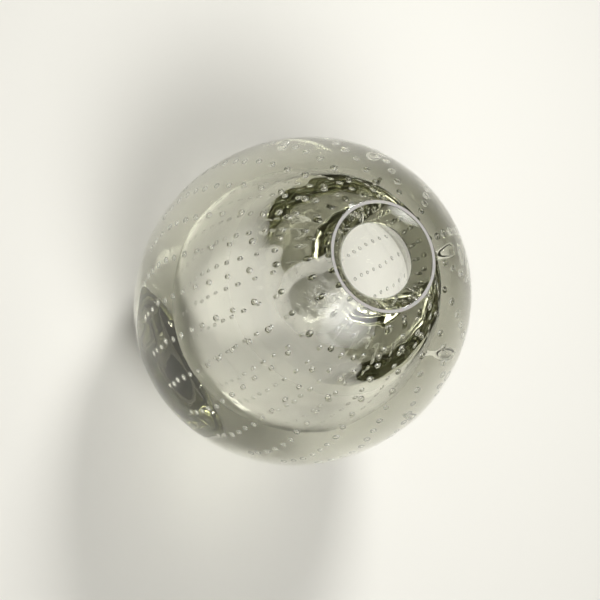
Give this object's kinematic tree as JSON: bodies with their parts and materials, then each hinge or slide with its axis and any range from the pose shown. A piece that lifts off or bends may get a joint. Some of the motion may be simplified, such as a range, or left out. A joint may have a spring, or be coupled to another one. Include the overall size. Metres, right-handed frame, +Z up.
{
  "type": "glass bud vase",
  "caption": "Heavy ball-shaped bud vase of cased smoky glass with a small flat-rimmed mouth and rows of trapped air bubbles around its cavity.",
  "frame": {"origin": "middle of the ground foot, on the surface that the vase stands on", "axes": "+Z up the axis of the vase, out of its mouth; X and Y lie in the plane of the foot"},
  "size_m": [0.1, 0.0999, 0.1122],
  "materials": {
    "smoky_glass": "polished"
  },
  "bodies": {
    "root": {"outer_casing": "smoky_glass", "inner_gather": "smoky_glass"}
  },
  "joints": []
}
